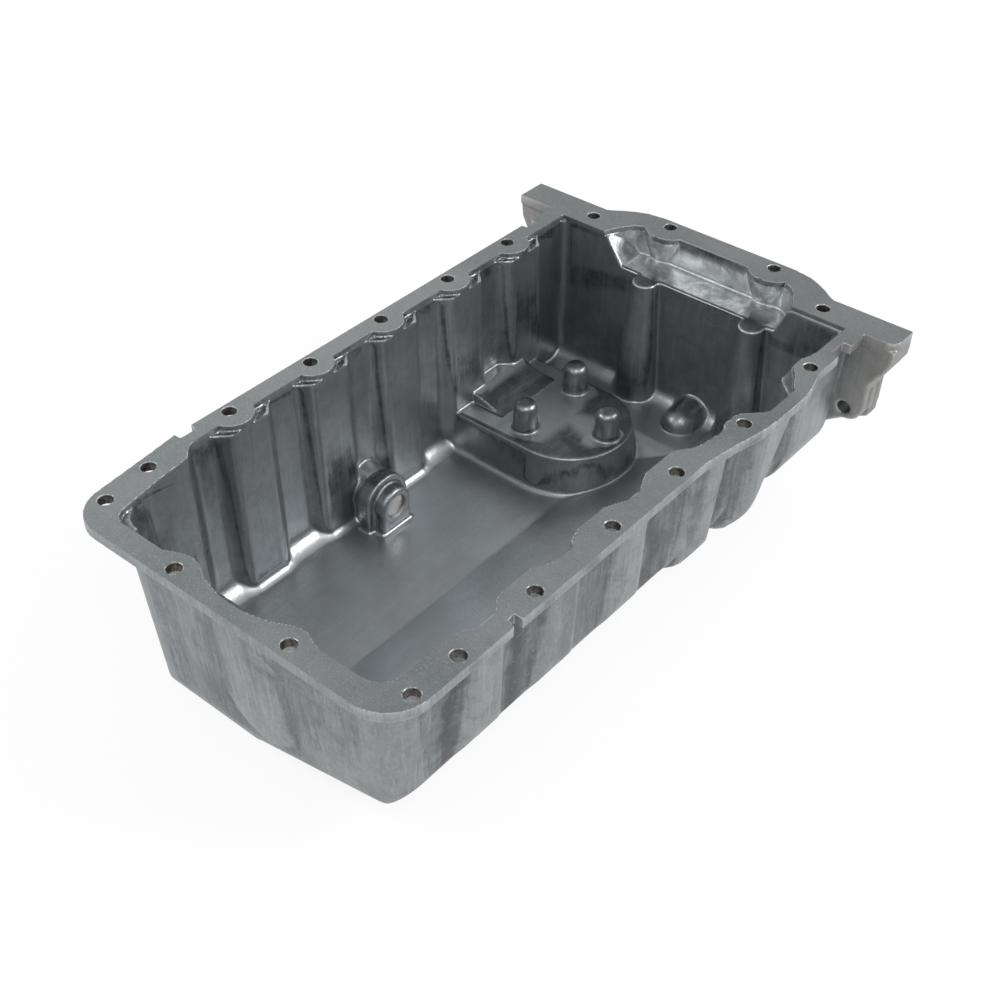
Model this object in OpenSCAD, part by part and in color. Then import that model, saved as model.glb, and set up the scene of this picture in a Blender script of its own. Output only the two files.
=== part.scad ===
/* [Whole pan] */
// Height from the outside of the sump floor to the gasket face
pan_depth = 117; // [108:130]
// Thickness of the cast walls and floor
wall = 4.5; // [4:0.1:5.4]
// Thickness of the gasket flange
flange_t = 6; // [5:0.5:8]
// Depth of the milled lip round the mouth
lip_depth = 3.5; // [2.5:0.5:4.5]

/* [Gasket flange] */
// Half width of the flange across its straight rails
rail_half = 112; // [110.5:0.5:116]
// Distance from the model's middle to the front edge of the flange
front_edge = 227.5; // [226:0.5:234]
// Distance from the model's middle to the far edge of the flange
far_edge = 201; // [199:0.5:208]
// Radius of the front corners
front_corner_r = 22.5; // [17:0.5:28]
// Diameter of the flange bolt holes
bolt_d = 8; // [6.5:0.1:9.6]
// Width of the small chamfer at each hole's mouth
bolt_chamfer = 0.35; // [0.2:0.05:0.6]
// Width kept free for the head of each bolt below the flange
head_room_d = 14.5; // [13:0.5:15.5]
// Length of the prying notches in the rails
notch_len = 10; // [8:12]

/* [Mouth] */
// Distance of the milled lip from the middle on the drain side
lip_left = 100.3; // [99.5:0.1:101.5]
// Radius of the round tabs that carry the drain side bolts
tab_r = 13; // [11:0.5:14]
// Depth of the shallow hollows beside the tabs
tab_hollow = 2; // [1:0.5:3]

/* [Side walls] */
// Drain side wall at the gasket face
left_wall = 100; // [98:0.5:100.2]
// Draft angle of the drain side wall
left_draft = 1.7; // [1:0.1:2.4]
// Radius between the drain side wall and the floor
left_fillet = 14; // [11:0.5:17]
// How far the drain side wall steps in at each bolt
left_bulge = 7.8; // [6.5:0.1:9]
// Far side wall at the gasket face
right_wall = 99.2; // [98:0.2:100.4]
// Draft angle of the far side wall
right_draft = 2.5; // [1.6:0.1:3.4]
// Radius between the far side wall and the floor
right_fillet = 33; // [28:0.5:38]
// How far the far side wall steps in at each bolt
right_bulge = 6.7; // [5.4:0.1:8]
// How far the deepest pocket of the far side wall reaches out
lobe_out = 13.5; // [11:0.5:14.5]

/* [Floor] */
// Slope of the raised half of the floor
floor_slope = 14.4; // [12:0.2:16.5]
// Line where the floor starts to rise, from the middle
crease_y = 6; // [0:0.5:12]
// Height of the step up to the gearbox end of the floor
floor_step = 9; // [7:0.5:11]

/* [Ends] */
// Front wall at the gasket face
front_wall = 210.5; // [208.5:0.5:211.5]
// Draft angle of the front wall
front_draft = 4.4; // [3.4:0.1:5.4]
// Gearbox end wall at the gasket face
far_wall = 163; // [161.5:0.5:164]
// Draft angle of the gearbox end wall
far_draft = 2; // [1.4:0.1:2.6]
// Depth of the shelf in the gearbox end
shelf_depth = 20; // [16:24]

/* [Pickup pad] */
// Height of the pad's table above the front floor
pad_height = 26.5; // [21:0.5:31]
// Radius of the pad's round end
pad_r = 40.5; // [36:0.5:42]
// Diameter of the three posts
post_d = 15.5; // [12.5:0.5:18]
// Height of the three posts
post_h = 20; // [16:24]

/* [Drain] */
// Diameter of the drain plug's thread
plug_d = 14; // [11.5:0.5:16.5]
// Size across the flats of the plug's head
plug_af = 19; // [17:22]
// Thickness of the sealing washer
washer_t = 2; // [1.6:0.1:2.4]
// Distance of the drain boss's inner face from the middle
boss_face = 65; // [60:72]

/* [Bell housing ears] */
// Reach of the drain side ear from the middle
left_ear = 137.5; // [134:0.5:142]
// Reach of the far side ear from the middle
right_ear = 135; // [132:0.5:140]
// Diameter of the cross hole in each ear
ear_hole_d = 8.4; // [6.8:0.1:10]

/* [Build] */
// Which piece to draw: all, oil_pan, drain_plug or drain_plug_washer

/* [Hidden] */
$fn = 32;

floor_z = -(pan_depth - wall);
far_floor_z = floor_z + floor_step;
pad_z = floor_z + pad_height;
pad_x = 84.5;
pad_y = 32;
pad_foot = 4;
mid_x = (far_edge - front_edge) / 2;
mid_y = (left_ear - right_ear) / 2;

left_bolts = [-119.6, -59.5, -2.5, 55.7, 112];
left_bolt_y = 105.8;
right_bolt_y = -104.4;
bulge_shift = 2;
bolts = [
  [-208.7, 97.4], [-178.2, 101.6],
  [left_bolts[0], left_bolt_y], [left_bolts[1], left_bolt_y], [left_bolts[2], left_bolt_y],
  [left_bolts[3], left_bolt_y], [left_bolts[4], left_bolt_y],
  [174.1, 85.1], [194, 39.2], [194, -37.2], [174.1, -82.8],
  [116.9, right_bolt_y - 3.9], [48.8, right_bolt_y - 3.9],
  [-8, right_bolt_y], [-62.6, right_bolt_y], [-122.6, right_bolt_y],
  [-176.3, right_bolt_y], [-206.6, right_bolt_y],
  [-219.7, -43], [-219.7, 33.7]
];
tight_bolts = [bolts[11], bolts[12], bolts[18], bolts[19]];
end_bolts = [bolts[8], bolts[9]];
end_tab_r = 16.3;
end_tab_foot_r = 11;

nose_x = 145;
nose_y = -12;
nose_r = 11.8;

drain_x = -37.4;
drain_z = floor_z + 15.7;
drain_seat = left_wall + wall + 0.4;
plug_head_h = 8;
plug_flange_d = 22;

ear_x0 = 165.5;
ear_x1 = 186;
ear_hole_y = 110.5;
ear_hole_z = -54;

// points of an arc about c from angle a0 to a1 in n steps
function arc(c, r, a0, a1, n) =
  [for (i = [0:n]) c + r * [cos(a0 + (a1 - a0) * i / n), sin(a0 + (a1 - a0) * i / n)]];

// a smooth wave from 0 up to height d, flat between -w1 and w1, foot at -w2 and w2
function wave(w1, w2, d, n) = concat(
  [for (i = [0:n]) [-w2 + (w2 - w1) * i / n, d * (1 - cos(180 * i / n)) / 2]],
  [for (i = [n:-1:0]) [w2 - (w2 - w1) * i / n, d * (1 - cos(180 * i / n)) / 2]]);

// narrowing of a wave's flank when its line is moved by the wall thickness
function shrink(w1, w2, d) = tan(atan(d / (w2 - w1)) / 2);

// centre of the round between the sloping floor and a wall at y0 with draft a
function round_c(y0, r, a) =
  let (
    n1 = [-sin(floor_slope), -cos(floor_slope)],
    n2 = [-cos(a), -sin(a)],
    d1 = n1 * [crease_y, floor_z] - r,
    d2 = y0 * cos(a) - r,
    det = n1[0] * n2[1] - n1[1] * n2[0]
  ) [(d1 * n2[1] - d2 * n1[1]) / det, (n1[0] * d2 - n2[0] * d1) / det];

// cross-section of the sump, grown by g, with the far side wall at y0 and its draft a
module cross_section(g, y0, a) {
  lc = [left_wall + (floor_z + left_fillet) * tan(left_draft) - left_fillet / cos(left_draft),
        floor_z + left_fillet];
  rc = round_c(y0, right_fillet, a);
  cr = crease_y - g * tan(floor_slope / 2);
  up = 20;
  polygon(concat(
    [[left_wall + g / cos(left_draft) + up * tan(left_draft), up]],
    arc(lc, left_fillet + g, -left_draft, -90, 8),
    [[cr, floor_z - g]],
    arc(rc, right_fillet + g, 270 - floor_slope, 180 + a, 10),
    [[-y0 - g / cos(a) - up * tan(a), up]]));
}

// lengthwise section of the sump, grown by g
module long_section(g) {
  ff = 3;
  rf = 12;
  fc = [-front_wall - (floor_z + ff) * tan(front_draft) + ff / cos(front_draft), floor_z + ff];
  gc = [far_wall + (far_floor_z + rf) * tan(far_draft) - rf / cos(far_draft), far_floor_z + rf];
  polygon(concat(
    [[-front_wall - 4.5 - g, 20]],
    [[-front_wall - 4.5 - g, -lip_depth - g]],
    [[-front_wall - g / cos(front_draft) + (12 + g) * tan(front_draft), -12 - g]],
    arc(fc, ff + g, 180 + front_draft, 270, 6),
    [[92, floor_z - g]],
    [[100, floor_z + floor_step * 0.2 - g]],
    [[114, far_floor_z - floor_step * 0.2 - g]],
    [[122, far_floor_z - g]],
    arc(gc, rf + g, 270, 360 - far_draft, 6),
    [[far_wall + g / cos(far_draft) + 20 * tan(far_draft), 20]]));
}

// cutter that rounds an upright corner at (x, y) with radius r
module corner_cut(x, y, r, sx, sy, tx, ty) {
  n = sqrt(tx * tx + ty * ty + 1);
  translate([x, y, 0])
    rotate([asin(ty / n), -atan(tx), 0])
      translate([0, 0, -170])
        linear_extrude(200)
          polygon(concat(
            [[sx * 40, -sy * r]],
            [for (p = arc([-r, -r], r, 0, 90, 7)) [sx * (p[0] + 0.03), sy * (p[1] + 0.03)]],
            [[-sx * r, sy * 40]],
            [[sx * 40, sy * 40]]));
}

// upright column that follows a wall's draft, drawn from its plan points
module drafted(x, y, tilt) {
  translate([x, y, 0])
    rotate([tilt, 0, 0])
      translate([0, 0, -170])
        linear_extrude(200)
          children();
}

// smaller round at the foot of the drain side wall from x0 to x1, where the wall stands in by d
module left_foot(g, d, x0, x1) {
  r = left_fillet - d;
  y = left_wall - d + (floor_z + r) * tan(left_draft) - r / cos(left_draft) + 0.12;
  translate([x0, 0, 0])
    rotate([90, 0, 90])
      linear_extrude(x1 - x0)
        polygon(concat(
          [[y + 0.6, floor_z - g - 2]],
          arc([y, floor_z + r], r + g, asin(0.6 / (r + g)) - 90, 0, 5),
          [[y + r + g + 2, floor_z + r], [y + r + g + 2, floor_z - g - 2]]));
}

// inward waves of the drain side wall at the bolts
module left_bulges(g) {
  w1 = 12;
  w2 = 22;
  s = g * shrink(w1, w2, left_bulge);
  for (i = [0:4])
    drafted(left_bolts[i] + bulge_shift, left_wall - left_bulge + g, -left_draft)
      polygon(concat(
        [for (p = wave(w1 - s, w2 - s, left_bulge, 5)) [p[0], left_bulge - p[1]]],
        [[w2 - s, left_bulge + 40]],
        [[s - w2, left_bulge + 40]]));
  for (k = [0:2]) {
    d = left_bulge * (1 - k / 3);
    w = w1 - s - 0.5 + (w2 - w1) * acos(2 * d / left_bulge - 1) / 180;
    for (i = [0:4])
      left_foot(g, d, left_bolts[i] + bulge_shift - w, left_bolts[i] + bulge_shift + w);
    left_foot(g, d, -260, -161 + 2.6 * k - 0.35 * g);
  }
  drafted(-160 - g * 0.35, left_wall - 8 + g, -left_draft)
    polygon([
      [-90, -7.5], [-40, -4.4], [-5, -0.6], [0, 0.5], [3, 3.4], [7, 7], [11, 8.4], [11, 48], [-90, 48]]);
}

// inward waves of the far side wall at the bolts
module right_bulges(g) {
  w1 = 10.5;
  w2 = 23;
  s = g * shrink(w1, w2, right_bulge);
  for (x = [-8, -65, -122.5])
    drafted(x, right_bulge - right_wall - g, right_draft)
      polygon(concat(
        [for (p = wave(w1 - s, w2 - s, right_bulge, 5)) [p[0], p[1] - right_bulge]],
        [[w2 - s, -right_bulge - 40]],
        [[s - w2, -right_bulge - 40]]));
  drafted(-168 - s, right_bulge - right_wall - g, right_draft)
    polygon(concat(
      [[-90, 0]],
      [for (i = [0:5]) [i * 2.4, -right_bulge * (1 - cos(36 * i)) / 2]],
      [[12, -right_bulge - 40], [-90, -right_bulge - 40]]));
}

// sump body bounded by its sections, grown by g
module sump(g) {
  difference() {
    union() {
      difference() {
        intersection() {
          translate([-260, 0, 0])
            rotate([90, 0, 90])
              linear_extrude(480)
                cross_section(g, right_wall, right_draft);
          translate([0, 200, 0])
            rotate([90, 0, 0])
              linear_extrude(400)
                long_section(g);
        }
        left_bulges(g);
        right_bulges(g);
      }
      lobe(g, [14, 28, 37, 50], 3.8, 0.6, [0, 7]);
      lobe(g, [55, 69.5, 88.5, 105.5], lobe_out, 5.4, [-4, 21]);
      lobe(g, [114, 133, 164, 181], 4.1, 4, [0, 5]);
      front_swelling(g);
    }
    corner_cut(-front_wall - g, left_wall - 12 + g, 16 + g, -1, 1, tan(front_draft), -tan(left_draft));
    corner_cut(-front_wall - g, right_bulge - right_wall - g, 13.5 + g, -1, -1,
               tan(front_draft), tan(right_draft));
    slope_edge_cut(g);
    corner_cut(far_wall + g, left_wall + g, 5 + g, 1, 1, -tan(far_draft), -tan(left_draft));
    corner_cut(far_wall + g, -right_wall - 4.2 - g, 5 + g, 1, -1, -tan(far_draft), tan(right_draft));
  }
}

// outward pocket of the far side wall: feet and flat at x, reach d, draft a, lean of its flanks
module lobe(g, x, d, a, lean) {
  intersection() {
    translate([-260, 0, 0])
      rotate([90, 0, 90])
        linear_extrude(480)
          cross_section(g, right_wall + d, a);
    translate([0, 200, 0])
      rotate([90, 0, 0])
        linear_extrude(400)
          long_section(g);
    flank(g, x[0], x[1], d, lean[0]);
    flank(g, x[3], x[2], d, lean[1]);
  }
}

// prism with one wavy flank that rises from x0 to x1, follows the wall's draft and leans with depth
module flank(g, x0, x1, d, lean) {
  w = abs(x1 - x0);
  s = g * tan(atan(d / w) / 2);
  side = sign(x1 - x0);
  translate([x0, -right_wall - g, 0])
    rotate([right_draft, lean, 0])
      translate([0, 0, -170])
        linear_extrude(200)
          polygon(concat(
            [[side * 150, 45 + g], [-side * s, 45 + g]],
            [for (i = [0:5]) [side * (w * i / 5 - s), 0.3 - (d + 0.8) * (1 - cos(36 * i)) / 2]],
            [[side * 150, -0.5 - d]]));
}

// hollow above the shelf in the gearbox end, grown by g
module shelf_hollow(g, top) {
  h = shelf_depth + g;
  intersection() {
    translate([0, 0, -h])
      linear_extrude(h + top)
        shelf_plan(g);
    translate([100, 0, 0])
      rotate([90, 0, 90])
        linear_extrude(120)
          polygon([[-59 - g, -h], [53 + g, -h], [68 + g, 0], [68 + g, 20], [-68 - g, 20], [-68 - g, 0]]);
  }
}

// tapered columns below the two bolt tabs of the far edge
module end_tabs() {
  for (b = end_bolts)
    translate([b[0], b[1], -shelf_depth - 0.5])
      cylinder(h = shelf_depth + 0.5 - lip_depth, r1 = end_tab_foot_r, r2 = end_tab_r);
}

// plan of the shelf in the gearbox end, grown by g
module shelf_plan(g) {
  polygon([
    [120, -68 - g], [164 + g * 0.3, -67 - g], [176 + g * 0.6, -61.5 - g], [181.5 + g, -57 - g * 0.5],
    [184.5 + g, -50], [184.5 + g, 50], [181.5 + g, 57 + g * 0.5], [176 + g * 0.6, 61.5 + g],
    [164 + g * 0.3, 67 + g], [120, 68 + g]]);
}

// outer edge of the gasket flange
module flange_plan() {
  fr = front_corner_r;
  fe = -front_edge;
  re = -rail_half;
  polygon(concat(
    arc([fe + fr, 106 - fr], fr, 180, 92, 8),
    [[-190, 107.6], [-170, 109.8], [-152, rail_half]],
    [[135, rail_half]],
    [[ear_x0 - 1, rail_half], [ear_x0 - 1, left_ear], [ear_x1, left_ear], [ear_x1, 83]],
    [[188, 79.5], [192, 74], [196, 67], [199, 60], [200.5, 50], [far_edge, 45]],
    [[far_edge, -45], [200.5, -50], [199, -60], [196, -67], [192, -74], [188, -79.5], [ear_x1, -83]],
    [[ear_x1, -right_ear]],
    arc([ear_x0 + 6.5, 6.5 - right_ear], 6.5, 270, 180, 4),
    [[ear_x0, re - 3], [118, re - 3]],
    [[112, re - 4], [100, re - 7.3], [90, re - 9], [70, re - 9], [60, re - 8.5], [50, re - 7.5]],
    [[40, re - 5.5], [30, re - 3.5], [20, re - 2], [8, re]],
    arc([fe + fr + 2, re + fr + 2], fr + 2, 270, 180, 8)));
}

// prying notches cut into the flange
module notches() {
  n = notch_len;
  linear_extrude(60, center = true) {
    polygon([[-151.8, 107.6], [-151.8 + n, 107.6], [-151.8 + n + 4.5, 130], [-151.8, 130]]);
    polygon([[134.5, 108], [134.5 + n - 2, 108], [134.5 + n + 4, 130], [134.5, 130]]);
    polygon([[136, -109.5], [149.8, -109.5], [149.8, -130], [136, -130]]);
    polygon([[-140.5, -106.5], [-145, -107], [-154, -130], [-140.5, -130]]);
  }
}

// milled mouth of the pan
module mouth_plan() {
  difference() {
    polygon(concat(
      arc([-205.5, 76.5], 9, 180, 100, 5),
      [[-180, 90], [-165, 91.5], [-160, 92.5], [-157, 95.5], [-153, 99], [-149, lip_left]],
      [[162.5, lip_left], [162.5, 68]],
      [[170, 65], [176, 61.5], [181, 57.5], [184, 52], [184.5, 48]],
      [[184.5, -48], [184, -52], [181, -57.5], [176, -61.5], [170, -65], [164, -68]],
      [[164, -right_wall - 4.1]],
      [[133, -right_wall - 4.1], [126, -right_wall - 2.8], [120, -right_wall - 0.6]],
      [[114, -right_wall - 0.6], [110, -right_wall - 2.3], [104, -right_wall - 6.8]],
      [[97, -right_wall - 10.3], [92, -right_wall - lobe_out], [67, -right_wall - lobe_out]],
      [[63, -right_wall - 10.8], [59, -right_wall - 6.8], [55, -right_wall - 2.8], [50, -right_wall - 1.1]],
      [[46, -right_wall - 1.5], [40, -right_wall - 3.3], [32, -right_wall - 3.8], [20, -right_wall - 2.1]],
      [[14, -right_wall - 0.3], [8, -right_wall + 4.2], [2, -right_wall + 6.7]],
      [[-18, -92.5], [-27, -96], [-32, -98.8], [-42, -98.5], [-48, -95.5], [-55, -92.5], [-75, -92.8]],
      [[-83, -95], [-88, -99], [-98, -99], [-104, -97], [-112, -93], [-133, -93]],
      [[-138, -94], [-145, -99.5], [-158, -99.5], [-168, -93.5], [-200, -93.5]],
      arc([-201, -81.5], 12, 268, 185, 5),
      [[-213, -56], [-211.5, -50], [-208.5, -43], [-210, -36], [-215, -26], [-218, -14], [-218.5, -4]],
      [[-218, 6], [-215, 18], [-210.5, 26], [-208.7, 33], [-211, 41], [-214.5, 48]]));
    for (i = [0:4])
      translate([left_bolts[i], left_bolt_y - 1])
        circle(tab_r);
    for (b = end_bolts)
      translate(b)
        circle(end_tab_r);
  }
}

// shallow hollows in the tops of the drain side waves
module tab_hollows() {
  for (i = [0:4])
    translate([0, 0, -lip_depth - tab_hollow])
      linear_extrude(tab_hollow + 1)
        difference() {
          translate([left_bolts[i] + bulge_shift, left_wall - left_bulge + 1.6])
            polygon(concat(
              [for (p = wave(10.8, 19.6, left_bulge - 2.2, 5)) [p[0], left_bulge - 2.2 - p[1]]],
              [[18, left_bulge - 2], [-18, left_bulge - 2]]));
          translate([left_bolts[i], left_bolt_y - 1])
            circle(tab_r + 1.2);
        }
}

// outline of half the pad at a cut, from its middle line outward
module pad_profile(foot) {
  rim = 1.6;
  base = pad_r + 2.5;
  polygon(concat(
    [[-1, floor_z - 3], [base + foot, floor_z - 3], [base + foot, floor_z]],
    arc([base + foot, floor_z + foot], foot, 265, 190, 4),
    arc([pad_r - rim, pad_z - rim], rim, 4, 90, 4),
    [[-1, pad_z]]));
}

// raised pickup pad with its ramp and three posts
module pad() {
  translate([pad_x, pad_y, 0]) {
    rotate([0, 0, 180])
      rotate_extrude(angle = 180, $fn = 48)
        intersection() {
          pad_profile(pad_foot);
          translate([0, -150])
            square(200);
        }
    for (s = [0, 1])
      mirror([s, 0, 0])
        rotate([90, 0, 180])
          mirror([1, 0, 0])
            linear_extrude(75)
              pad_profile(pad_foot);
  }
  translate([60, 0, 0])
    rotate([90, 0, 90])
      linear_extrude(51)
        polygon([[62, pad_z - 3], [64, pad_z], [90, pad_z + 7], [110, pad_z + 7], [110, pad_z - 3]]);
  post(60.6, 47.5);
  post(112.7, 48.5);
  post(86.2, 4);
}

// hollow in the underside that keeps the pad's walls even
module pad_hollow() {
  r1 = pad_r - wall + 1.5;
  r2 = pad_r - wall - 1.2;
  top = pad_z - wall - 1;
  hull() {
    translate([0, 0, floor_z - wall - 0.5])
      linear_extrude(0.1)
        pad_slot(r1);
    translate([0, 0, top - 2])
      linear_extrude(0.1)
        pad_slot(r2);
    translate([0, 0, top - 0.1])
      linear_extrude(0.1)
        pad_slot(r2 - 2);
  }
}

// plan of the hollow, round at one end and closed near the wall
module pad_slot(r) {
  far = left_wall - left_fillet - 8 + r - pad_r;
  polygon(concat(
    arc([pad_x, pad_y], r, 180, 360, 14),
    arc([pad_x + r - 6, far - 6], 6, 0, 90, 3),
    arc([pad_x - r + 6, far - 6], 6, 90, 180, 3)));
}

// one domed post
module post(x, y) {
  r = post_d / 2 - 0.2;
  dome = post_d * 0.31;
  translate([x, y, pad_z])
    rotate_extrude()
      polygon(concat(
        [[0, -2], [r + 0.5, -2]],
        arc([r - dome, post_h - dome], dome, 0, 75, 5),
        [[0, post_h]]));
}

// inner side of the drain boss, standing on the floor
module drain_boss_in() {
  translate([drain_x, boss_face + 1.6, drain_z])
    rotate([-90, 0, 0])
      cylinder(h = 40, r = 12);
  translate([drain_x, boss_face, drain_z])
    rotate([-90, 0, 0])
      cylinder(h = 1.6, r1 = 10.4, r2 = 12);
  boss_foot(boss_face + 0.4, 30, 10.8, 12.6);
  boss_foot(boss_face + 8, 9, 16.6, 16.4);
  translate([drain_x, boss_face + 8, drain_z])
    rotate([-90, 0, 0])
      cylinder(h = 9, r = 17.2);
  translate([drain_x, boss_face + 17, drain_z])
    rotate([-90, 0, 0])
      cylinder(h = 3, r1 = 17.2, r2 = 14.5);
  translate([drain_x + 6, boss_face + 11, drain_z + 1])
    rotate([-86, 0, 0])
      cylinder(h = 28, r1 = 11, r2 = 10.5);
}

// foot of the boss on the floor from y to y + h, half widths w1 above and w2 at the floor
module boss_foot(y, h, w1, w2) {
  translate([drain_x, y + h, 0])
    rotate([90, 0, 0])
      linear_extrude(h)
        polygon([[-w2, floor_z - 2], [w2, floor_z - 2], [w1, drain_z], [-w1, drain_z]]);
}

// columns and nose of the gearbox end wall
module end_wall_bosses() {
  for (y = [32, -46])
    translate([158.5, y, far_floor_z - 3])
      cylinder(h = -shelf_depth - far_floor_z + 3, r1 = 15.5, r2 = 8.2);
  translate([nose_x, nose_y, far_floor_z + 1]) {
    sphere(nose_r);
    rotate([0, 90, 0])
      cylinder(h = far_wall - nose_x, r1 = nose_r - 0.05, r2 = nose_r + 1.5);
  }
}

// everything that the casting leaves hollow
module cavity() {
  difference() {
    union() {
      sump(0);
      shelf_hollow(0, 10);
    }
    translate([0, 0, -lip_depth])
      linear_extrude(60)
        square(600, center = true);
    pad();
    drain_boss_in();
    end_wall_bosses();
    end_tabs();
    for (b = tight_bolts)
      translate([b[0], b[1], -pan_depth])
        cylinder(h = pan_depth + 1, d = head_room_d + 1.4 * wall);
  }
  translate([0, 0, -lip_depth - 0.01])
    linear_extrude(20)
      mouth_plan();
}

// ear that the bell housing bolts to, drawn on the far side
module ear(reach) {
  difference() {
    union() {
      ear_slab(ear_x0, [
        [-88, -0.5], [-reach + 0.4, -0.5], [-reach, -9], [-reach + 0.6, -15], [-reach + 4.2, -22.2],
        [-reach + 9.2, -29.4], [-reach + 11.6, -33.4], [-reach + 12.2, -53], [-reach + 15.4, -58.4],
        [-reach + 18.8, -60.8], [-reach + 24, -61.6], [-101, -68.5], [-95, -76], [-88, -78]]);
      ear_slab(ear_x1 - 7.5, [
        [-88, -30], [-reach + 11.7, -36], [-reach + 12.2, -48.2], [-reach + 12.7, -59.7],
        [-reach + 14.5, -63.4], [-reach + 20.7, -66.4], [-103, -69.5], [-96, -77], [-88, -79]]);
    }
    for (x = [ear_x0 + 5.2, ear_x0 + 13.4])
      translate([x, -reach + 8, -90])
        cube([2.4, 5.8, 52]);
  }
}

// slab of an ear from x to its far face, drawn from its outline seen along the pan
module ear_slab(x, outline) {
  translate([x, 0, 0])
    rotate([90, 0, 90])
      linear_extrude(ear_x1 - x)
        polygon(outline);
}

// swelling of the front wall between the two front bolts
module front_swelling(g) {
  r = 60;
  out = 5;
  intersection() {
    translate([-front_wall, -3, 0])
      rotate([0, -front_draft, 0]) {
        translate([r - out, 0, -80])
          cylinder(h = 74, r = r + g, $fn = 72);
        translate([r - out, 0, -80])
          sphere(r + g + 0.02, $fn = 72);
      }
    translate([-front_wall, 0, 0])
      rotate([0, -front_draft, 0])
        translate([-20, -40, -pan_depth])
          cube([21, 80, pan_depth + 1]);
  }
}

// cutter that rounds the edge between the front wall and the sloping floor
module slope_edge_cut(g) {
  r = 4.5 + g;
  z = floor_z - g;
  c = [r / cos(front_draft) - r * tan(front_draft), r];
  translate([-front_wall - g / cos(front_draft) - z * tan(front_draft), crease_y, z])
    rotate([-floor_slope, 0, 0])
      rotate([0, 0, -atan(tan(front_draft) * tan(floor_slope))])
        rotate([90, 0, 0])
          linear_extrude(150)
            polygon(concat(
              [[-25, r], [0.02 - r * tan(front_draft) - 0.05, r]],
              [for (p = arc(c, r, 180 + front_draft, 270, 6)) p - [0.03, 0.03]],
              [[c[0], -25], [-25, -25]]));
}

// outside of the casting before anything is cut
module outside() {
  difference() {
    union() {
      sump(wall);
      shelf_hollow(wall, -0.5);
      ear(right_ear);
      mirror([0, 1, 0])
        ear(left_ear);
      translate([drain_x, left_wall - 15, drain_z])
        rotate([-90, 0, 0])
          cylinder(h = drain_seat - left_wall + 15, r = 16);
    }
    translate([0, 0, -flange_t + 1])
      linear_extrude(60)
        square(600, center = true);
    for (b = bolts)
      translate([b[0], b[1], -flange_t - pan_depth])
        cylinder(h = pan_depth, d = head_room_d);
  }
  translate([0, 0, -flange_t])
    linear_extrude(flange_t)
      flange_plan();
}

module oil_pan() {
  color([0.62, 0.64, 0.65])
    difference() {
      outside();
      cavity();
      pad_hollow();
      tab_hollows();
      notches();
      for (b = bolts) {
        translate([b[0], b[1], -flange_t - 2])
          cylinder(h = flange_t + 10, d = bolt_d);
        translate([b[0], b[1], -bolt_chamfer])
          cylinder(h = bolt_chamfer + 0.01, d1 = bolt_d, d2 = bolt_d + 2 * bolt_chamfer);
      }
      for (s = [-1, 1])
        translate([ear_x0 - 10, s * ear_hole_y, ear_hole_z])
          rotate([0, 90, 0])
            cylinder(h = 50, d = ear_hole_d);
      translate([drain_x, boss_face - 5, drain_z])
        rotate([-90, 0, 0])
          cylinder(h = 60, d = plug_d + 0.1);
    }
}

module drain_plug() {
  color([0.55, 0.56, 0.58])
    translate([drain_x, drain_seat + washer_t, drain_z])
      rotate([-90, 0, 0]) {
        translate([0, 0, boss_face + 2 - drain_seat - washer_t])
          cylinder(h = drain_seat + washer_t - boss_face - 1, d = plug_d);
        cylinder(h = 2, d = plug_flange_d);
        translate([0, 0, 1])
          cylinder(h = plug_head_h, d = plug_af / cos(30), $fn = 6);
      }
}

module drain_plug_washer() {
  color([0.72, 0.73, 0.74])
    translate([drain_x, drain_seat, drain_z])
      rotate([-90, 0, 0])
        difference() {
          cylinder(h = washer_t, d = plug_flange_d - 2);
          translate([0, 0, -1])
            cylinder(h = washer_t + 2, d = plug_d + 0.3);
        }
}

translate([-mid_x, -mid_y, pan_depth]) {
  oil_pan();
  drain_plug();
  drain_plug_washer();
}
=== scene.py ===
import math

import bpy
import numpy as np
from mathutils import Matrix, Vector


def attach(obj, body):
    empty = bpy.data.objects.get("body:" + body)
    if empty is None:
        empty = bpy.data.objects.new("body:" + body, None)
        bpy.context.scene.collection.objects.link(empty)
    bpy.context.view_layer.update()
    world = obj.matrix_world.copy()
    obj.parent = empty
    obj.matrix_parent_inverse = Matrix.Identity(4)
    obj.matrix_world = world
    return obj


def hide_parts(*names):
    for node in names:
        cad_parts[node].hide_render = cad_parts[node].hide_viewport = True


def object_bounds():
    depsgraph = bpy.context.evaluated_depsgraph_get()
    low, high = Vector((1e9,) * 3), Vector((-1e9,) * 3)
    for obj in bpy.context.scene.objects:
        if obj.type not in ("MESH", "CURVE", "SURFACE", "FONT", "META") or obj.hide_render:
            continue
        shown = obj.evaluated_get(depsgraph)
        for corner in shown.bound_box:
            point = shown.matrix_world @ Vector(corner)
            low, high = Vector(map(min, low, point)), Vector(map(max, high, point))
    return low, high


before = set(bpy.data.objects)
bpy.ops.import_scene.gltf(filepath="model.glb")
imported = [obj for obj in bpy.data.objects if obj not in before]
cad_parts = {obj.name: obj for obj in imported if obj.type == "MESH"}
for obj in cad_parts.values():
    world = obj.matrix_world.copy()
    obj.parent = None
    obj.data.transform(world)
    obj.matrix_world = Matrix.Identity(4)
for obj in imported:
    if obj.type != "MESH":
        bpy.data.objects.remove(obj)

cad_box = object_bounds()
scene = bpy.context.scene

# camera at the photograph's own view point
LENS = 53.95
CAMERA_AT = (-0.50405, -0.40655, 0.5874)
CAMERA_RIGHT = (0.641168, -0.767359, 0.007921)
CAMERA_UP = (0.487314, 0.415106, 0.768253)
CAMERA_BACK = (-0.592814, -0.488720, 0.640097)

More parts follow.
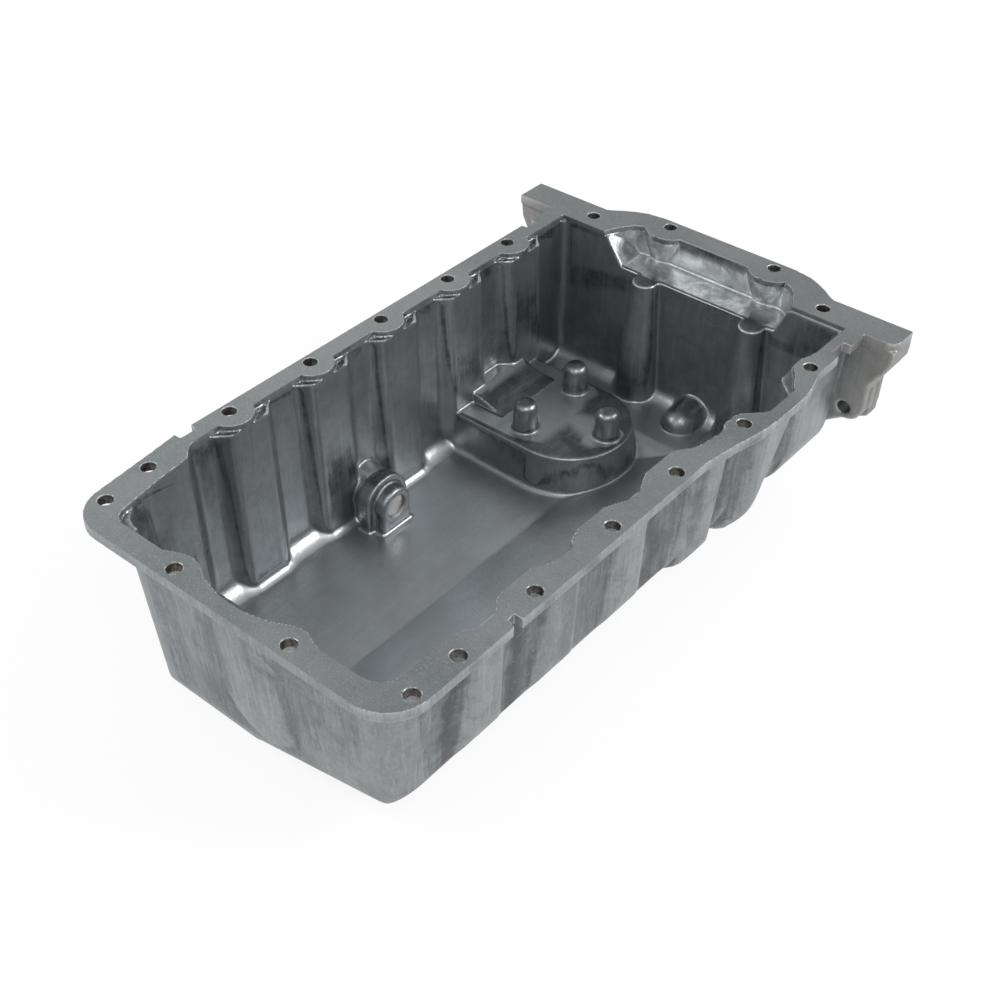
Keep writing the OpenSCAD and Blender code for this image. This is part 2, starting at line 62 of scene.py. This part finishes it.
# studio: soft world light, grey of the floor, and the floor's share of white in view
WHITE = (1, 1, 1, 1)
WORLD_SOFT = 0.8
FLOOR_GREY = (0.86, 0.86, 0.86, 1)
FLOOR_SEEN = 0.87
FLOOR_HALF = 6.0
FLOOR_DROP = 0.0002
LAMPS_AIM = (0, 0, 0.05)
LAMPS = (  # name, place, size, power
    ("right", (0.9, -1.2, 1.0), (0.9, 0.5), 19),
    ("back", (0.8, 1.35, 1.1), (0.9, 0.5), 2),
    ("front", (-0.75, -0.8, 1.5), (0.45, 0.45), 6),
    ("left", (-0.95, 1.1, 1.15), (0.45, 0.35), 6),
)

# painted shade bands down the hollows of the far side wall: places along the wall and width
SHADE_BANDS = (-0.144, -0.095, -0.063, 0.017, 0.070, 0.138)
SHADE_BAND_HALF = 0.011
SHADE_BAND_CORE = 0.001
SHADE_BAND_WAVER = 0.03
SHADE_BAND_WALL = (-0.07, -0.09)

# making of the casting's mesh, in metres
VOXEL = 0.0008
FILLET_STEPS = 12
FILLET_FACTOR = 0.5
FILLET_SHARES = 10
TRIANGLES = 190000
TOP_CRISP = (0.0052, 0.003)
FAR_CRISP = (0.0012, 0.002)
EAR_FACE = 0.19925
EAR_CRISP = 0.0015
EAR_INNER = 0.098
TOP_SNAP = 0.00012
TOP_EXACT = 1e-6
SHARP_ANGLE = 42
FACE_WEIGHT = 80

# places of the marks, in millimetres in the model's own frame
BOLTS = np.array(
    [
        (-208.7, 97.4), (-178.2, 101.6), (-119.6, 105.8), (-59.5, 105.8), (-2.5, 105.8),
        (55.7, 105.8), (112, 105.8), (174.1, 85.1), (194, 39.2), (194, -37.2),
        (174.1, -82.8), (116.9, -108.3), (48.8, -108.3), (-8, -104.4), (-62.6, -104.4),
        (-122.6, -104.4), (-176.3, -104.4), (-206.6, -104.4), (-219.7, -43), (-219.7, 33.7),
    ]
) + (13.25, -1.25)
BOLT_BORE = 4.2
FLANGE = (109, 116.75)
MILLED_TOL = 0.01
EAR_TOL = 0.3
EAR_Y = 90
EAR_X = 150
EAR_RISE = (104, 8)
SHELF_Z = (93, 114)
SHELF_X = 177.5
SHELF_Y = 66
DRAIN = (-24.15, 20.2)
DRAIN_RADIUS = 8.2
DRAIN_WALL_Y = 60
FOLD_Z = 24
INSIDE_TOP = 116.7
INSIDE_SEED = (-100, 40, 4.5)

# slopes and bends of the skin that the marks tell apart
WALL_SLOPE = 0.3
LEVEL_SLOPE = (0.6, 0.3)
FOLD_SLOPE = (0.72, 0.3)
FOLD_CORE = 1.2
FOLD_FACING = -0.25
WAVE_STEPS = 60
WAVE_FACTOR = 0.9
WAVE_RISE = 0.0012
EDGE_BEND = (120, 400)
TINY = 1e-9


def make_camera():
    data = bpy.data.cameras.new("camera")
    data.lens = LENS
    data.sensor_width = 36
    data.clip_start = 0.01
    data.clip_end = 50
    cam = bpy.data.objects.new("camera", data)
    scene.collection.objects.link(cam)
    axes = (Vector(CAMERA_RIGHT), Vector(CAMERA_UP), Vector(CAMERA_BACK))
    place = Matrix(axes).transposed().to_4x4()
    place.translation = Vector(CAMERA_AT)
    cam.matrix_world = place
    scene.camera = cam


def make_lamp(name, at, size, power):
    data = bpy.data.lights.new(name, "AREA")
    data.shape = "RECTANGLE"
    data.size, data.size_y = size
    data.energy = power
    lamp = bpy.data.objects.new(name, data)
    scene.collection.objects.link(lamp)
    lamp.location = at
    lamp.rotation_mode = "QUATERNION"
    aim = Vector(LAMPS_AIM) - Vector(at)
    lamp.rotation_quaternion = aim.to_track_quat("-Z", "Y")


# share of the plain white background that the camera, gloss and glass see
def seen(tree, share):
    path = tree.nodes.new("ShaderNodeLightPath")
    last = path.outputs["Is Camera Ray"]
    for kind in ("Is Glossy Ray", "Is Transmission Ray"):
        more = tree.nodes.new("ShaderNodeMath")
        more.operation = "MAXIMUM"
        tree.links.new(last, more.inputs[0])
        tree.links.new(path.outputs[kind], more.inputs[1])
        last = more.outputs[0]
    part = tree.nodes.new("ShaderNodeMath")
    part.operation = "MULTIPLY"
    part.inputs[1].default_value = share
    tree.links.new(last, part.inputs[0])
    return part.outputs[0]


def shader(tree, kind, colour, strength=None):
    n = tree.nodes.new(kind)
    n.inputs["Color"].default_value = colour
    if strength is not None:
        n.inputs["Strength"].default_value = strength
    return n.outputs[0]


# what lights the object, with plain white in view in front of it
def with_white(tree, out_kind, lit, white, share):
    out = tree.nodes.new(out_kind)
    mix = tree.nodes.new("ShaderNodeMixShader")
    tree.links.new(seen(tree, share), mix.inputs[0])
    tree.links.new(lit, mix.inputs[1])
    tree.links.new(white, mix.inputs[2])
    tree.links.new(mix.outputs[0], out.inputs[0])


def make_stage():
    scene.view_settings.view_transform = "Standard"
    world = bpy.data.worlds.new("studio")
    scene.world = world
    world.use_nodes = True
    t = world.node_tree
    t.nodes.clear()
    soft = shader(t, "ShaderNodeBackground", WHITE, WORLD_SOFT)
    white = shader(t, "ShaderNodeBackground", WHITE, 1.0)
    with_white(t, "ShaderNodeOutputWorld", soft, white, 1.0)

    mesh = bpy.data.meshes.new("floor")
    s = FLOOR_HALF
    corners = [(-s, -s, 0), (s, -s, 0), (s, s, 0), (-s, s, 0)]
    mesh.from_pydata(corners, [], [(0, 1, 2, 3)])
    floor = bpy.data.objects.new("floor", mesh)
    scene.collection.objects.link(floor)
    floor.location.z = -FLOOR_DROP
    mat = bpy.data.materials.new("floor_white")
    mat.use_nodes = True
    t = mat.node_tree
    t.nodes.clear()
    grey = shader(t, "ShaderNodeBsdfDiffuse", FLOOR_GREY)
    glow = shader(t, "ShaderNodeEmission", WHITE, 1.0)
    with_white(t, "ShaderNodeOutputMaterial", grey, glow, FLOOR_SEEN)
    mesh.materials.append(mat)

    for lamp in LAMPS:
        make_lamp(*lamp)


# small helpers for node materials
class Nodes:
    def __init__(self, name):
        self.mat = bpy.data.materials.new(name)
        self.mat.use_nodes = True
        self.t = self.mat.node_tree
        self.t.nodes.clear()
        self.out = self.t.nodes.new("ShaderNodeOutputMaterial")
        self.bsdf = self.t.nodes.new("ShaderNodeBsdfPrincipled")
        self.link(self.bsdf.outputs[0], self.out.inputs[0])

    def link(self, a, b):
        self.t.links.new(a, b)

    def put(self, socket, v):
        if isinstance(v, bpy.types.NodeSocket):
            self.link(v, socket)
        elif isinstance(v, tuple) and len(v) == 3 and socket.type == "RGBA":
            socket.default_value = (*v, 1)
        else:
            socket.default_value = v

    # metal with a drawn colour, roughness and surface relief
    def metal(self, share, colour, rough, normal):
        self.bsdf.inputs["Metallic"].default_value = share
        self.put(self.bsdf.inputs["Base Color"], colour)
        self.put(self.bsdf.inputs["Roughness"], rough)
        self.put(self.bsdf.inputs["Normal"], normal)
        return self.mat

    def spot(self):
        return self.t.nodes.new("ShaderNodeTexCoord").outputs["Object"]

    def place(self, scale=(1, 1, 1), turn=(0, 0, 0)):
        n = self.t.nodes.new("ShaderNodeMapping")
        n.inputs["Scale"].default_value = scale
        n.inputs["Rotation"].default_value = turn
        self.link(self.spot(), n.inputs["Vector"])
        return n.outputs[0]

    def noise(self, scale, at=None, detail=3.0, rough=0.55, distort=0.0):
        n = self.t.nodes.new("ShaderNodeTexNoise")
        n.inputs["Scale"].default_value = scale
        n.inputs["Detail"].default_value = detail
        n.inputs["Roughness"].default_value = rough
        n.inputs["Distortion"].default_value = distort
        self.link(self.place() if at is None else at, n.inputs["Vector"])
        return n.outputs[0]

    def cells(self, scale):
        n = self.t.nodes.new("ShaderNodeTexVoronoi")
        n.inputs["Scale"].default_value = scale
        self.link(self.place(), n.inputs["Vector"])
        return n.outputs["Distance"]

    # smooth step from a to b as v goes from lo to hi
    def ramp(self, v, lo, hi, a=0.0, b=1.0):
        n = self.t.nodes.new("ShaderNodeMapRange")
        n.interpolation_type = "SMOOTHSTEP"
        n.clamp = True
        self.link(v, n.inputs["Value"])
        n.inputs["From Min"].default_value = lo
        n.inputs["From Max"].default_value = hi
        n.inputs["To Min"].default_value = a
        n.inputs["To Max"].default_value = b
        return n.outputs["Result"]

    def math(self, op, a, b=0.0):
        n = self.t.nodes.new("ShaderNodeMath")
        n.operation = op
        self.put(n.inputs[0], a)
        self.put(n.inputs[1], b)
        return n.outputs[0]

    def less(self, v, share=1.0):
        return self.math("SUBTRACT", 1.0, self.math("MULTIPLY", v, share))

    def mix(self, fac, a, b):
        n = self.t.nodes.new("ShaderNodeMix")
        n.data_type = "RGBA"
        n.clamp_factor = True
        ins = [i for i in n.inputs if i.enabled]
        for socket, v in zip(ins, (fac, a, b)):
            self.put(socket, v)
        return [o for o in n.outputs if o.enabled][0]

    # tints laid over a colour, each with its mask, its share and its own colour
    def tints(self, col, *layers):
        for mask, share, to in layers:
            col = self.mix(self.math("MULTIPLY", mask, share), col, to)
        return col

    def attr(self, name):
        n = self.t.nodes.new("ShaderNodeAttribute")
        n.attribute_name = name
        return n.outputs["Fac"]

    def bump(self, height, strength, dist, under=None):
        n = self.t.nodes.new("ShaderNodeBump")
        n.inputs["Strength"].default_value = strength
        n.inputs["Distance"].default_value = dist
        self.link(height, n.inputs["Height"])
        if under is not None:
            self.link(under, n.inputs["Normal"])
        return n.outputs[0]


# mask of the painted shade bands in the wall hollows, with a wavering edge
def shade_bands(m, waver):
    part = m.t.nodes.new("ShaderNodeSeparateXYZ")
    m.link(m.spot(), part.inputs[0])
    x = m.math("ADD", part.outputs[0], m.math("MULTIPLY", waver, SHADE_BAND_WAVER))
    mask = None
    for at in SHADE_BANDS:
        off = m.math("ABSOLUTE", m.math("SUBTRACT", x, at))
        one = m.ramp(off, SHADE_BAND_HALF, SHADE_BAND_CORE)
        mask = one if mask is None else m.math("MAXIMUM", mask, one)
    return m.math("MULTIPLY", mask, m.ramp(part.outputs[1], *SHADE_BAND_WALL))


# cast and milled aluminium of the pan; the noises run from coarse to fine
def aluminium():
    m = Nodes("cast_aluminium")
    milled, inside, wave, level, shelf = map(
        m.attr, ("milled", "inside", "wave", "level", "shelf")
    )
    drawn = m.place(scale=(1, 1, 0.08))
    hair = m.place(scale=(1, 1, 0.035))
    along = m.place(scale=(0.12, 1, 1), turn=(0, 0, 0.12))
    brush = m.place(scale=(0.05, 1, 1), turn=(0, 0, 0.5))
    cloud = m.noise(14, detail=4)
    patch = m.noise(45, detail=6, rough=0.6, distort=0.6)
    mottle = m.noise(110, detail=8, rough=0.7, distort=0.3)
    down = m.noise(160, at=drawn, detail=5, rough=0.65)
    wide = m.noise(34, at=drawn, detail=4)
    lines = m.noise(520, at=hair, detail=4, rough=0.7)
    flow = m.noise(120, at=along, detail=5, rough=0.6)
    swipe = m.noise(420, at=brush, detail=4, rough=0.7)
    grain = m.noise(1500, detail=2)
    speck = m.noise(480, detail=5, rough=0.75)
    pits = m.cells(700)

    # cast skin outside, with painted shade down the hollows of the side wall
    body = m.tints(
        m.mix(m.ramp(mottle, 0.36, 0.64), (0.17, 0.187, 0.198), (0.262, 0.283, 0.296)),
        (m.ramp(wide, 0.5, 0.7), 0.6, (0.355, 0.37, 0.376)),
        (m.ramp(lines, 0.54, 0.66), 0.4, (0.42, 0.43, 0.43)),
        (m.ramp(lines, 0.46, 0.34), 0.5, (0.11, 0.116, 0.12)),
        (m.ramp(patch, 0.56, 0.7), 0.55, (0.1, 0.103, 0.103)),
        # painted shade: dark bands down the hollows of the side wall
        (shade_bands(m, patch), 0.7, (0.055, 0.056, 0.058)),
        # painted shade in the hollows of the skin and painted highlight on its swells
        (m.ramp(wave, 0.5, 0.1), 0.3, (0.08, 0.084, 0.088)),
        (m.ramp(wave, 0.55, 0.95), 0.3, (0.42, 0.43, 0.432)),
        (m.ramp(speck, 0.56, 0.68), 0.35, (0.46, 0.47, 0.47)),
        (m.ramp(speck, 0.44, 0.34), 0.35, (0.09, 0.094, 0.098)),
        (m.attr("ear"), 0.5, (0.25, 0.235, 0.215)),
    )
    # walls inside, drawn from top to bottom, painted darker than the skin outside as shade
    # inside the pan
    side = m.tints(
        m.mix(m.ramp(mottle, 0.36, 0.64), (0.1, 0.11, 0.118), (0.2, 0.216, 0.228)),
        (m.ramp(down, 0.5, 0.7), 0.55, (0.34, 0.36, 0.37)),
        (m.ramp(wide, 0.48, 0.34), 0.6, (0.07, 0.076, 0.082)),
        (m.ramp(patch, 0.54, 0.74), 0.5, (0.06, 0.066, 0.072)),
        (m.ramp(lines, 0.54, 0.66), 0.3, (0.36, 0.38, 0.39)),
        # painted highlight on the swells of the inner walls
        (m.ramp(wave, 0.62, 0.95), 0.5, (0.42, 0.44, 0.45)),
    )
    # floor and pad, wiped lengthwise, painted darker than the walls as shade in the bottom
    # of the pan
    low = m.tints(
        m.mix(m.ramp(mottle, 0.34, 0.66), (0.045, 0.052, 0.058), (0.074, 0.084, 0.092)),
        (m.ramp(flow, 0.48, 0.68), 0.5, (0.115, 0.127, 0.137)),
        (m.ramp(flow, 0.46, 0.3), 0.5, (0.045, 0.051, 0.057)),
        (m.ramp(swipe, 0.54, 0.66), 0.35, (0.15, 0.164, 0.175)),
        (m.ramp(patch, 0.5, 0.66), 0.6, (0.026, 0.03, 0.034)),
    )
    # the shelf at the gearbox end, painted much lighter than the floor: painted light on
    # its top
    bright = m.tints(
        m.mix(m.ramp(mottle, 0.36, 0.64), (0.36, 0.38, 0.395), (0.68, 0.7, 0.71)),
        (m.ramp(patch, 0.52, 0.7), 0.6, (0.16, 0.172, 0.184)),
    )
    low = m.mix(shelf, low, bright)
    # the whole inner skin, with painted highlight in its hollows and along the foot of the
    # drain wall
    inner = m.tints(
        m.mix(m.math("MAXIMUM", level, shelf), side, low),
        (m.ramp(wave, 0.36, 0.02), 0.5, (0.36, 0.38, 0.39)),
        (m.attr("fold_highlight"), 0.85, (0.52, 0.54, 0.56)),
        (m.ramp(speck, 0.58, 0.7), 0.2, (0.34, 0.36, 0.37)),
    )
    # milled faces
    face = m.tints(
        m.mix(m.ramp(cloud, 0.35, 0.65), (0.135, 0.149, 0.152), (0.18, 0.195, 0.197)),
        (m.ramp(patch, 0.6, 0.75), 0.4, (0.105, 0.115, 0.116)),
        (m.ramp(grain, 0.5, 0.7), 0.45, (0.28, 0.296, 0.297)),
        (m.ramp(speck, 0.44, 0.34), 0.4, (0.09, 0.098, 0.1)),
    )
    # hole bores brown: their own tint, darkened as painted shade inside the holes
    brown = m.mix(m.ramp(speck, 0.4, 0.6), (0.05, 0.046, 0.04), (0.14, 0.13, 0.115))

    col = m.mix(milled, m.mix(inside, body, inner), face)
    # convex edges lighter: wear, and a painted highlight along them
    col = m.tints(col, (m.attr("edge"), 0.55, (0.52, 0.535, 0.54)))
    col = m.mix(m.attr("bore"), col, brown)

    rough = m.mix(
        inside, m.ramp(mottle, 0.3, 0.7, 0.42, 0.58), m.ramp(cloud, 0.3, 0.7, 0.27, 0.38)
    )
    rough = m.mix(milled, rough, m.ramp(cloud, 0.3, 0.7, 0.38, 0.48))

    skin = m.math("ADD", m.math("MULTIPLY", grain, 0.6), m.math("MULTIPLY", pits, 0.4))
    fine = m.bump(m.math("MULTIPLY", skin, m.less(milled, 0.6)), 0.3, 0.0004)
    drags = m.bump(m.mix(level, lines, swipe), 0.12, 0.0003, fine)
    rolls = m.bump(m.math("MULTIPLY", mottle, m.less(milled)), 0.25, 0.0008, drags)
    return m.metal(0.85, col, rough, rolls)


def steel():
    m = Nodes("zinc_steel")
    cloud = m.noise(60, detail=4)
    fine = m.noise(900, detail=2)
    col = m.tints(
        m.mix(m.ramp(cloud, 0.3, 0.7), (0.42, 0.41, 0.38), (0.55, 0.55, 0.53)),
        (m.ramp(fine, 0.55, 0.7), 0.3, (0.25, 0.24, 0.22)),
    )
    rough = m.ramp(cloud, 0.3, 0.7, 0.3, 0.42)
    return m.metal(0.9, col, rough, m.bump(fine, 0.2, 0.0002))


def soft_aluminium():
    m = Nodes("soft_aluminium")
    cloud = m.noise(120, detail=3)
    col = m.mix(m.ramp(cloud, 0.3, 0.7), (0.5, 0.51, 0.52), (0.62, 0.63, 0.64))
    rough = m.ramp(cloud, 0.3, 0.7, 0.35, 0.5)
    return m.metal(0.9, col, rough, m.bump(cloud, 0.2, 0.0002))


# mesh of an object with its modifiers applied
def made(obj):
    dg = bpy.context.evaluated_depsgraph_get()
    return bpy.data.meshes.new_from_object(obj.evaluated_get(dg))


def link(name, mesh):
    o = bpy.data.objects.new(name, mesh)
    scene.collection.objects.link(o)
    return o


def read(items, name, width, kind=np.float32):
    values = np.empty(len(items) * width, kind)
    items.foreach_get(name, values)
    return values.reshape(-1, width) if width > 1 else values


def points(mesh):
    return read(mesh.vertices, "co", 3)


def corner_vertices(mesh):
    return read(mesh.loops, "vertex_index", 1, np.int32)


# 0 where the milled faces stay crisp, 1 where the cast skin is smoothed
def cast_share(co, top, far):
    keep = np.clip((top - TOP_CRISP[0] - co[:, 2]) / TOP_CRISP[1], 0, 1)
    keep = np.minimum(keep, np.clip((far - FAR_CRISP[0] - co[:, 0]) / FAR_CRISP[1], 0, 1))
    keep[(np.abs(co[:, 1]) > EAR_INNER) & (co[:, 0] > EAR_FACE - EAR_CRISP)] = 0
    return keep


# the casting with its fillets: remeshed, smoothed away from the milled faces, thinned
def rounded_casting():
    top = cad_box[1].z
    far = cad_box[1].x
    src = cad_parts["oil_pan"]
    rough = link("casting_raw", src.data.copy())
    rough.matrix_world = src.matrix_world.copy()
    r = rough.modifiers.new("fine", "REMESH")
    r.mode = "VOXEL"
    r.voxel_size = VOXEL
    mesh = made(rough)

    fine = link("casting_fine", mesh)
    cast = fine.vertex_groups.new(name="cast")
    shares = np.round(cast_share(points(mesh), top, far) * FILLET_SHARES).astype(int)
    for k in range(1, FILLET_SHARES + 1):
        ids = np.nonzero(shares == k)[0]
        if len(ids):
            cast.add(ids.tolist(), k / FILLET_SHARES, "REPLACE")
    s = fine.modifiers.new("fillets", "SMOOTH")
    s.iterations = FILLET_STEPS
    s.factor = FILLET_FACTOR
    s.vertex_group = "cast"
    w = fine.modifiers.new("crisp", "SHRINKWRAP")
    w.target = src
    w.wrap_method = "NEAREST_SURFACEPOINT"
    w.vertex_group = "cast"
    w.invert_vertex_group = True
    mesh = made(fine)

    whole = link("casting_whole", mesh)
    d = whole.modifiers.new("fewer", "DECIMATE")
    d.ratio = min(1.0, TRIANGLES / (2 * len(mesh.polygons)))
    d.use_collapse_triangulate = True
    mesh = made(whole)
    for o in (rough, fine, whole):
        bpy.data.objects.remove(o)

    pan = link("pan_casting", mesh)
    level_top(mesh, top)
    mark(mesh, top)
    mesh.polygons.foreach_set("use_smooth", np.ones(len(mesh.polygons), bool))
    mesh.set_sharp_from_angle(angle=math.radians(SHARP_ANGLE))
    milled_rim(mesh, top)
    wn = pan.modifiers.new("flat_faces", "WEIGHTED_NORMAL")
    wn.keep_sharp = True
    wn.weight = FACE_WEIGHT
    mesh.materials.clear()
    mesh.materials.append(aluminium())
    return pan


# the milled top made exactly level
def level_top(mesh, top):
    co = points(mesh)
    co[co[:, 2] > top - TOP_SNAP, 2] = top
    mesh.vertices.foreach_set("co", co.ravel())
    mesh.update()


# sharp edges all round the milled top, so that it shades as one flat face
def milled_rim(mesh, top):
    up = points(mesh)[:, 2] > top - TOP_EXACT
    flat = up[corner_vertices(mesh)].reshape(-1, 3).all(axis=1)
    edges = read(mesh.loops, "edge_index", 1, np.int32)
    per_edge = np.zeros(len(mesh.edges), int)
    np.add.at(per_edge, edges, np.repeat(flat, 3).astype(int))
    sharp = read(mesh.edges, "use_edge_sharp", 1, bool)
    mesh.edges.foreach_set("use_edge_sharp", sharp | (per_edge == 1))


# marks that the material reads, kept at the corners so that flat faces stay even
def mark(mesh, top):
    co = points(mesh)
    x, y, z = (co * 1000).T
    nrm = read(mesh.vertex_normals, "vector", 3)
    loops = corner_vertices(mesh)
    face = np.repeat(read(mesh.polygons, "normal", 3), 3, axis=0)
    up = np.abs(face[:, 2])

    tri = co[loops].reshape(-1, 3, 3) * 1000
    flat = (tri[:, :, 2] > top * 1000 - MILLED_TOL).all(axis=1)
    on_ear = (np.abs(tri[:, :, 0] - EAR_FACE * 1000) < EAR_TOL).all(axis=1)
    flat |= on_ear & (np.abs(tri[:, 0, 1]) > EAR_Y)
    milled = np.repeat(flat, 3)

    near = np.full(len(co), np.inf)
    for bx, by in BOLTS:
        near = np.minimum(near, np.hypot(x - bx, y - by))
    hole = (near < BOLT_BORE) & (z > FLANGE[0]) & (z < FLANGE[1])
    ear = np.clip((np.abs(y) - EAR_RISE[0]) / EAR_RISE[1], 0, 1) * (x > EAR_X)
    end = (z > SHELF_Z[0]) & (z < SHELF_Z[1]) & (x > SHELF_X) & (np.abs(y) < SHELF_Y)
    # painted highlight along the fillet at the foot of the drain wall
    foot = (z < FOLD_Z) & (y > DRAIN_WALL_Y)
    fold_highlight = np.clip(FOLD_CORE - np.abs(face[:, 2] - FOLD_SLOPE[0]) / FOLD_SLOPE[1], 0, 1)
    fold_highlight *= (face[:, 1] < FOLD_FACING) * foot[loops]
    inside = inside_marks(mesh, x, y, z)[loops] * ~milled
    marks = {
        "milled": milled,
        "inside": inside,
        "edge": edge_marks(mesh, co, nrm)[loops] * ~milled,
        "wave": wave_marks(mesh, co, nrm)[loops],
        "level": np.clip((up - LEVEL_SLOPE[0]) / LEVEL_SLOPE[1], 0, 1),
        "shelf": inside * end[loops],
        "fold_highlight": inside * fold_highlight,
        "bore": hole[loops] & (up < WALL_SLOPE),
        "ear": ear[loops],
    }
    for name, v in marks.items():
        a = mesh.attributes.new(name, "FLOAT", "CORNER")
        a.data.foreach_set("value", np.ascontiguousarray(v, np.float32))


def edge_ends(mesh):
    return read(mesh.edges, "vertices", 2, np.int32).T


# the inner skin, spread from the floor up to the milled face and the drain hole
def inside_marks(mesh, x, y, z):
    a, b = edge_ends(mesh)
    drain = np.hypot(x - DRAIN[0], z - DRAIN[1]) < DRAIN_RADIUS
    stop = (z > INSIDE_TOP) | (drain & (y > DRAIN_WALL_Y))
    sx, sy, sz = INSIDE_SEED
    on = np.zeros(len(x), bool)
    on[np.argmin(np.hypot(np.hypot(x - sx, y - sy), z - sz))] = True
    while True:
        more = on.copy()
        more[a[on[b]]] = True
        more[b[on[a]]] = True
        more &= ~stop
        if (more == on).all():
            return on.astype(np.float32)
        on = more


# broad swell of the skin: 1 on ridges, 0 in hollows; the material paints shade and
# highlight from it
def wave_marks(mesh, co, nrm):
    a, b = edge_ends(mesh)
    nv = len(co)
    count = np.bincount(a, minlength=nv) + np.bincount(b, minlength=nv)
    soft = co.astype(np.float64)
    for _ in range(WAVE_STEPS):
        total = np.empty_like(soft)
        for k in range(3):
            c = soft[:, k]
            total[:, k] = np.bincount(a, c[b], nv) + np.bincount(b, c[a], nv)
        soft += WAVE_FACTOR * (total / np.maximum(count, 1)[:, None] - soft)
    rise = ((co - soft) * nrm).sum(1)
    return np.clip(0.5 + rise / WAVE_RISE, 0, 1)


# narrow convex edges, where the skin is worn bright and painted with a highlight
def edge_marks(mesh, co, nrm):
    a, b = edge_ends(mesh)
    d = co[b] - co[a]
    size = np.linalg.norm(d, axis=1) + TINY
    bend = ((nrm[b] - nrm[a]) * d).sum(1) / size**2
    total = np.zeros(len(co))
    count = np.zeros(len(co))
    for end in (a, b):
        np.add.at(total, end, bend)
        np.add.at(count, end, 1)
    curve = total / np.maximum(count, 1)
    return np.clip((curve - EDGE_BEND[0]) / EDGE_BEND[1], 0, 1)


make_camera()
make_stage()
pan = rounded_casting()
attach(pan, "root")
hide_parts("oil_pan")
for name, mat in (("drain_plug", steel()), ("drain_plug_washer", soft_aluminium())):
    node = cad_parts[name]
    for s in node.material_slots:
        s.link = "OBJECT"
        s.material = mat
